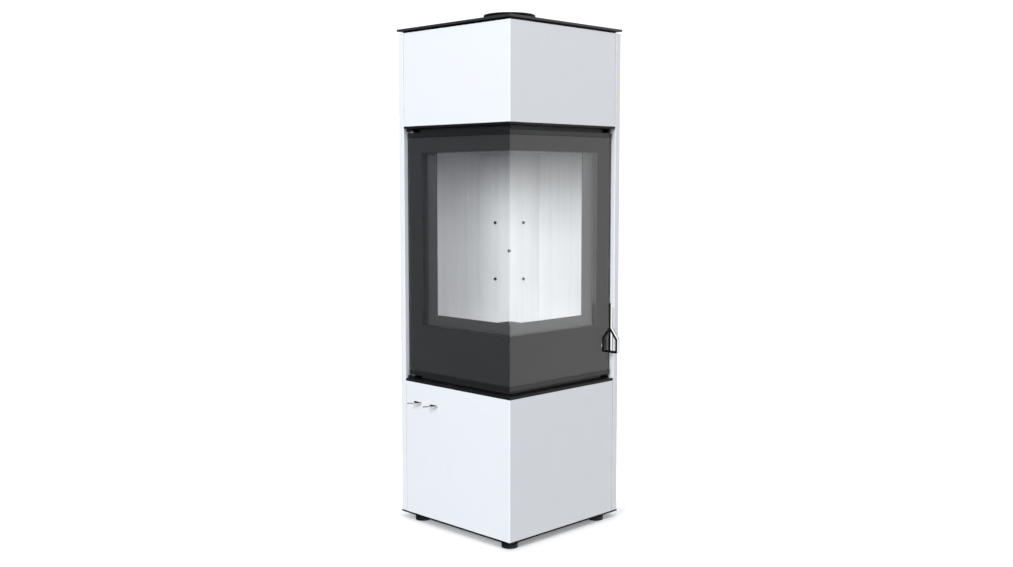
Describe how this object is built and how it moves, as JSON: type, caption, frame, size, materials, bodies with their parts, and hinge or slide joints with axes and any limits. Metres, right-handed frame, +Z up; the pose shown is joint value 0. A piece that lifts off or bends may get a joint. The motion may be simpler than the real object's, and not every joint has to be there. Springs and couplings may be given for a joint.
{
  "type": "corner wood stove",
  "caption": "Tall square corner wood stove with a two-sided glass door, smooth white covers, black shelves and plinth, flue collar on top.",
  "frame": {"origin": "on the floor, at the middle of the whole object's footprint", "axes": "+Z up; the left glazed face looks along -Y and the right glazed face along +X, so the front corner points to +X, -Y"},
  "size_m": [0.527, 0.5117, 1.5395],
  "materials": {
    "white_enamel": "smooth white enamel, soft gloss",
    "black_steel": "matt black stove paint",
    "dark_steel": "heat-proof dark grey paint",
    "grey_frame_steel": "matt mid-grey stove paint",
    "black_door_steel": "matt black stove paint",
    "door_glass": "clear glass ceramic with a dark printed border",
    "vermiculite": "white pressed vermiculite board",
    "rope_seal": "knitted glass-fibre rope",
    "zinc_steel": "zinc-plated steel",
    "polished_steel": "polished stainless steel",
    "handle_steel": "steel loop, black edges",
    "cast_grate": "rough grey cast iron",
    "foot_rubber": "black moulded foot"
  },
  "bodies": {
    "stove": {"base_plate": "black_steel", "foot_pads": "foot_rubber", "foot_studs": "zinc_steel", "foot_nuts": "zinc_steel", "lower_cover": "white_enamel", "upper_cover": "white_enamel", "rear_left_panel": "white_enamel", "rear_right_panel": "white_enamel", "lower_shelf": "black_steel", "upper_shelf": "black_steel", "top_plate": "black_steel", "pedestal_posts": "zinc_steel", "hood_posts": "zinc_steel", "top_frame": "black_steel", "left_heat_shield": "zinc_steel", "right_heat_shield": "zinc_steel", "air_inlet_spigot": "zinc_steel", "fresh_air_pipe": "zinc_steel", "air_box": "zinc_steel", "inlet_box": "zinc_steel", "valve_rails": "zinc_steel", "chamber_left_wall": "dark_steel", "chamber_right_wall": "dark_steel", "chamber_back_wall": "dark_steel", "chamber_floor_plate": "dark_steel", "chamber_roof": "dark_steel", "front_frame_left": "grey_frame_steel", "front_frame_right": "grey_frame_steel", "lining_left": "vermiculite", "lining_right": "vermiculite", "lining_back": "vermiculite", "hearth_slab": "vermiculite", "baffle": "vermiculite", "ash_pan": "zinc_steel", "grate": "cast_grate", "log_guard": "polished_steel", "smoke_deflector": "dark_steel", "deflector_hooks": "dark_steel", "flue_spigot": "cast_grate", "flue_collar": "black_steel", "flue_bolts": "zinc_steel", "lower_hinge_bracket": "black_steel", "upper_hinge_bracket": "black_steel", "hinge_pins": "polished_steel", "hinge_washers": "zinc_steel", "latch_catch": "zinc_steel", "rear_panel_screws": "zinc_steel"},
    "door": {"door_frame": "black_door_steel", "door_glass": "door_glass", "door_bottom_rail": "black_door_steel", "door_top_rail": "black_door_steel", "door_seal": "rope_seal", "shaft_bush": "polished_steel"},
    "handle": {"door_handle": "handle_steel", "handle_shaft": "polished_steel", "latch_hook": "zinc_steel"},
    "primary_air": {"primary_air_valve": "zinc_steel", "primary_air_lever": "polished_steel"},
    "secondary_air": {"secondary_air_valve": "zinc_steel", "secondary_air_lever": "polished_steel"}
  },
  "joints": [
    {"name": "door_hinge", "type": "hinge", "parent": "stove", "child": "door", "pos_m": [-0.221, -0.20156, 0.82], "axis": [0, 0, -1], "range_deg": [0, 100]},
    {"name": "handle_turn", "type": "hinge", "parent": "door", "child": "handle", "pos_m": [0.207, 0.19443, 0.5445], "axis": [1, 0, 0], "range_deg": [0, 60]},
    {"name": "primary_air_slide", "type": "slide", "parent": "stove", "child": "primary_air", "axis": [-1, 0, 0], "range_m": [0, 0.026]},
    {"name": "secondary_air_slide", "type": "slide", "parent": "stove", "child": "secondary_air", "axis": [-1, 0, 0], "range_m": [0, 0.026]}
  ]
}
